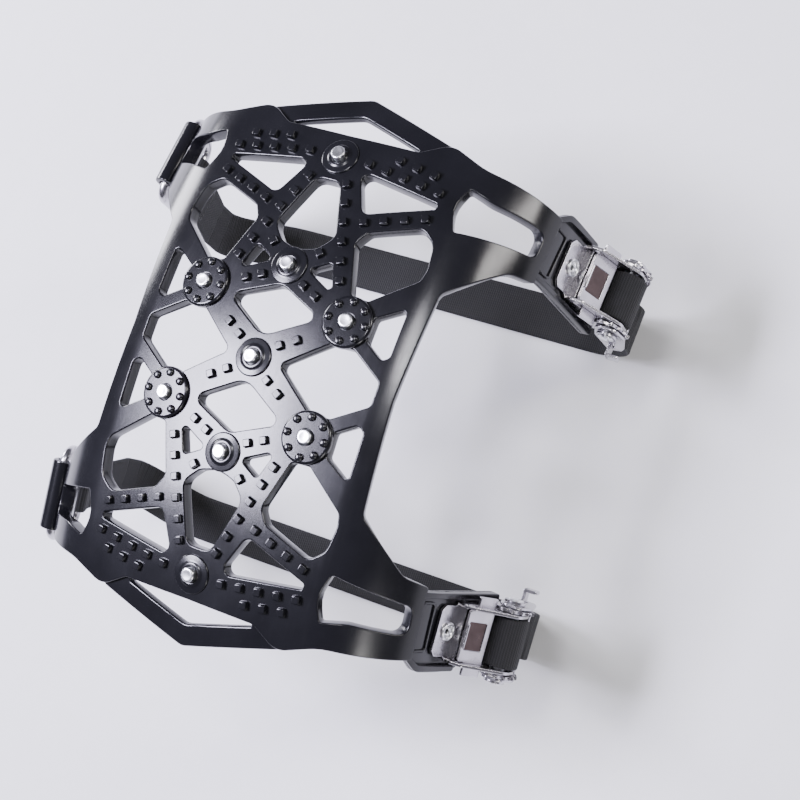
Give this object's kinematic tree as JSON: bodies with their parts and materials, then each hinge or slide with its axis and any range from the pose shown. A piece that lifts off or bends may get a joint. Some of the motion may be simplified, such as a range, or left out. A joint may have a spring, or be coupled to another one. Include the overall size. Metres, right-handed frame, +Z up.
{
  "type": "tyre snow chain",
  "caption": "Moulded anti-skid tread panel with steel studs that straddles a tyre, held on by webbing straps, link rings and small ratchet buckles.",
  "frame": {"origin": "middle of the part's footprint, on the floor under the straps", "axes": "+X towards the wheel's outer face (the buckle side), +Y around the tyre, +Z up, out of the tread"},
  "size_m": [0.2425, 0.2564, 0.1541],
  "materials": {
    "moulded_tpu": "glossy black moulded thermoplastic polyurethane",
    "stud_steel": "bright zinc-plated steel",
    "chrome_plate": "bright chrome plate on pressed steel",
    "spring_steel": "plain spring steel wire",
    "black_webbing": "ribbed black polypropylene webbing"
  },
  "bodies": {
    "chain_panel": {"tread_panel": "moulded_tpu", "stud_1": "stud_steel", "stud_2": "stud_steel", "stud_3": "stud_steel", "stud_4": "stud_steel", "stud_5": "stud_steel", "stud_6": "stud_steel", "stud_7": "stud_steel", "stud_8": "stud_steel", "stud_9": "stud_steel", "ratchet_frame_1": "chrome_plate", "lock_spring_1": "spring_steel", "rivet_1": "chrome_plate", "rivet_washer_1": "stud_steel", "strap_1": "black_webbing", "ratchet_frame_2": "chrome_plate", "lock_spring_2": "spring_steel", "rivet_2": "chrome_plate", "rivet_washer_2": "stud_steel", "strap_2": "black_webbing"},
    "winding_spindle_1": {"spindle_1": "stud_steel", "ratchet_wheel_left_1": "chrome_plate", "ratchet_wheel_right_1": "chrome_plate", "spindle_clip_left_1": "chrome_plate", "spindle_clip_right_1": "chrome_plate", "wound_webbing_1": "black_webbing"},
    "pull_handle_1": {"handle_1": "chrome_plate", "pawl_spring_1": "spring_steel"},
    "driving_pawl_1": {"drive_pawl_1": "chrome_plate"},
    "locking_plate_1": {"lock_plate_1": "chrome_plate"},
    "inner_ring_1": {"link_ring_1": "chrome_plate", "webbing_eye_1": "black_webbing"},
    "winding_spindle_2": {"spindle_2": "stud_steel", "ratchet_wheel_left_2": "chrome_plate", "ratchet_wheel_right_2": "chrome_plate", "spindle_clip_left_2": "chrome_plate", "spindle_clip_right_2": "chrome_plate", "wound_webbing_2": "black_webbing"},
    "pull_handle_2": {"handle_2": "chrome_plate", "pawl_spring_2": "spring_steel"},
    "driving_pawl_2": {"drive_pawl_2": "chrome_plate"},
    "locking_plate_2": {"lock_plate_2": "chrome_plate"},
    "inner_ring_2": {"link_ring_2": "chrome_plate", "webbing_eye_2": "black_webbing"}
  },
  "joints": [
    {"name": "spindle_turn_1", "type": "hinge", "parent": "chain_panel", "child": "winding_spindle_1", "pos_m": [0.11177, 0.07981, 0.06505], "axis": [0, 0.9877, -0.1564], "range_deg": [0, 345]},
    {"name": "handle_lift_1", "type": "hinge", "parent": "chain_panel", "child": "pull_handle_1", "pos_m": [0.11177, 0.07981, 0.06505], "axis": [0, -0.9877, 0.1564], "range_deg": [0, 150]},
    {"name": "drive_pawl_slide_1", "type": "slide", "parent": "pull_handle_1", "child": "driving_pawl_1", "axis": [-0.1045, -0.1556, -0.9823], "range_m": [0, 0.003], "stiffness_N_per_m": 900, "springref_m": -0.003, "deforming": ["pawl_spring_1"]},
    {"name": "lock_plate_slide_1", "type": "slide", "parent": "chain_panel", "child": "locking_plate_1", "axis": [-0.4617, 0.1388, 0.8761], "range_m": [0, 0.004], "stiffness_N_per_m": 900, "springref_m": -0.003, "deforming": ["lock_spring_1"]},
    {"name": "ring_swing_1", "type": "hinge", "parent": "chain_panel", "child": "inner_ring_1", "pos_m": [-0.10517, 0.08493, 0.11134], "axis": [0, -0.972, 0.235], "range_deg": [-20, 20]},
    {"name": "spindle_turn_2", "type": "hinge", "parent": "chain_panel", "child": "winding_spindle_2", "pos_m": [0.11177, -0.07981, 0.06505], "axis": [0, 0.9877, 0.1564], "range_deg": [0, 345]},
    {"name": "handle_lift_2", "type": "hinge", "parent": "chain_panel", "child": "pull_handle_2", "pos_m": [0.11177, -0.07981, 0.06505], "axis": [0, -0.9877, -0.1564], "range_deg": [0, 150]},
    {"name": "drive_pawl_slide_2", "type": "slide", "parent": "pull_handle_2", "child": "driving_pawl_2", "axis": [-0.1045, 0.1556, -0.9823], "range_m": [0, 0.003], "stiffness_N_per_m": 900, "springref_m": -0.003, "deforming": ["pawl_spring_2"]},
    {"name": "lock_plate_slide_2", "type": "slide", "parent": "chain_panel", "child": "locking_plate_2", "axis": [-0.4617, -0.1388, 0.8761], "range_m": [0, 0.004], "stiffness_N_per_m": 900, "springref_m": -0.003, "deforming": ["lock_spring_2"]},
    {"name": "ring_swing_2", "type": "hinge", "parent": "chain_panel", "child": "inner_ring_2", "pos_m": [-0.10517, -0.08493, 0.11134], "axis": [0, -0.972, -0.235], "range_deg": [-20, 20]}
  ]
}
